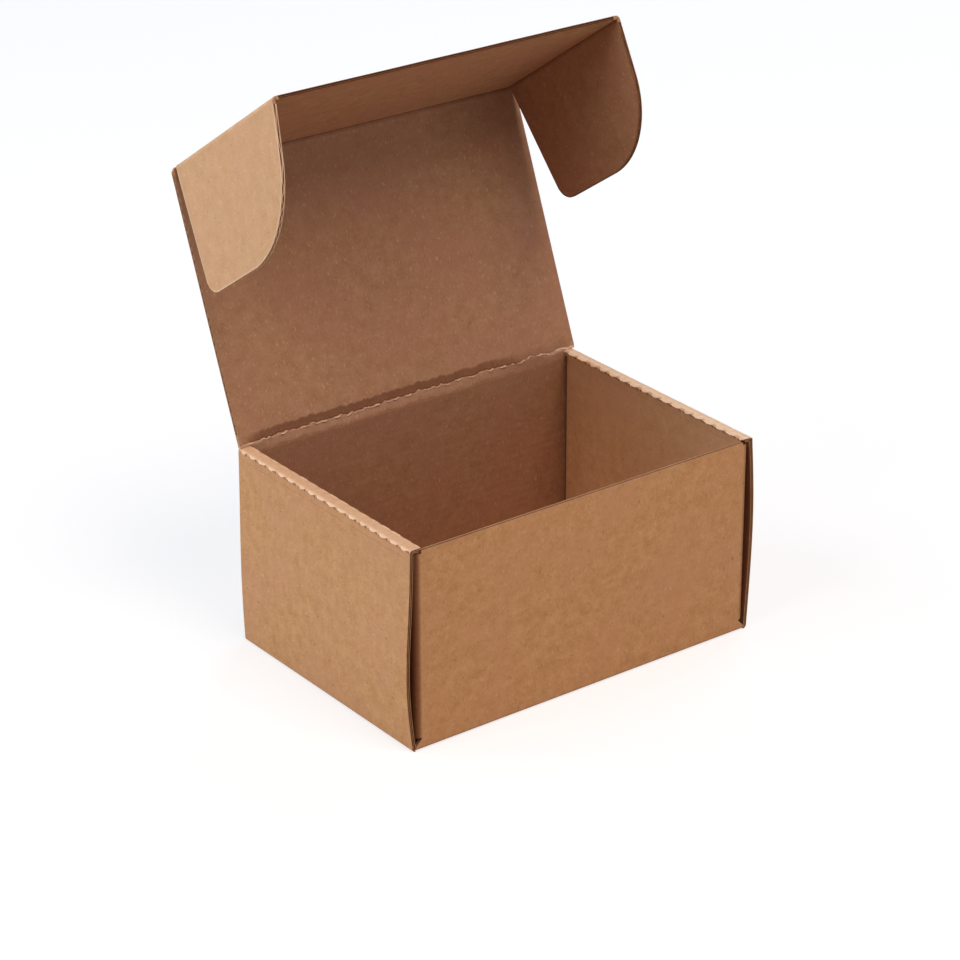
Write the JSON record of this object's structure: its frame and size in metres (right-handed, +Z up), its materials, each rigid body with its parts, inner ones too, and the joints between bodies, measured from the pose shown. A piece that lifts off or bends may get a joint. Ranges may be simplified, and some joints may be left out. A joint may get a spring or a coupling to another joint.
{
  "type": "corrugated mailer box",
  "caption": "Kraft corrugated mailer box with rolled-over side walls, standing open, its lid carrying a tuck flap with two round-cornered ears",
  "frame": {"origin": "centre of the tray's underside", "axes": "+X right along the front wall, +Y from the front wall to the lid's hinge, +Z up"},
  "size_m": [0.1691, 0.1508, 0.2295],
  "materials": {
    "tray_board": "unbleached kraft liner, matt",
    "lid_board": "unbleached kraft liner, matt"
  },
  "bodies": {
    "tray": {"tray": "tray_board"},
    "lid": {"lid_panel": "lid_board"},
    "tuck": {"tuck_flap": "lid_board"},
    "ear_l": {"left_ear": "lid_board"},
    "ear_r": {"right_ear": "lid_board"}
  },
  "joints": [
    {"name": "lid_hinge", "type": "hinge", "parent": "tray", "child": "lid", "pos_m": [0, 0.0547, 0.08345], "axis": [-1, 0, 0], "range_deg": [-61.2, 68.2]},
    {"name": "tuck_fold", "type": "hinge", "parent": "lid", "child": "tuck", "pos_m": [0, 0.0947, 0.18345], "axis": [1, 0, 0], "range_deg": [-78, 16]},
    {"name": "left_ear_fold", "type": "hinge", "parent": "tuck", "child": "ear_l", "pos_m": [-0.07885, 0.06079, 0.20614], "axis": [0, -0.831, 0.5563], "range_deg": [-82, 53]},
    {"name": "right_ear_fold", "type": "hinge", "parent": "tuck", "child": "ear_r", "pos_m": [0.07885, 0.06079, 0.20614], "axis": [0, 0.831, -0.5563], "range_deg": [-87, 48]}
  ]
}
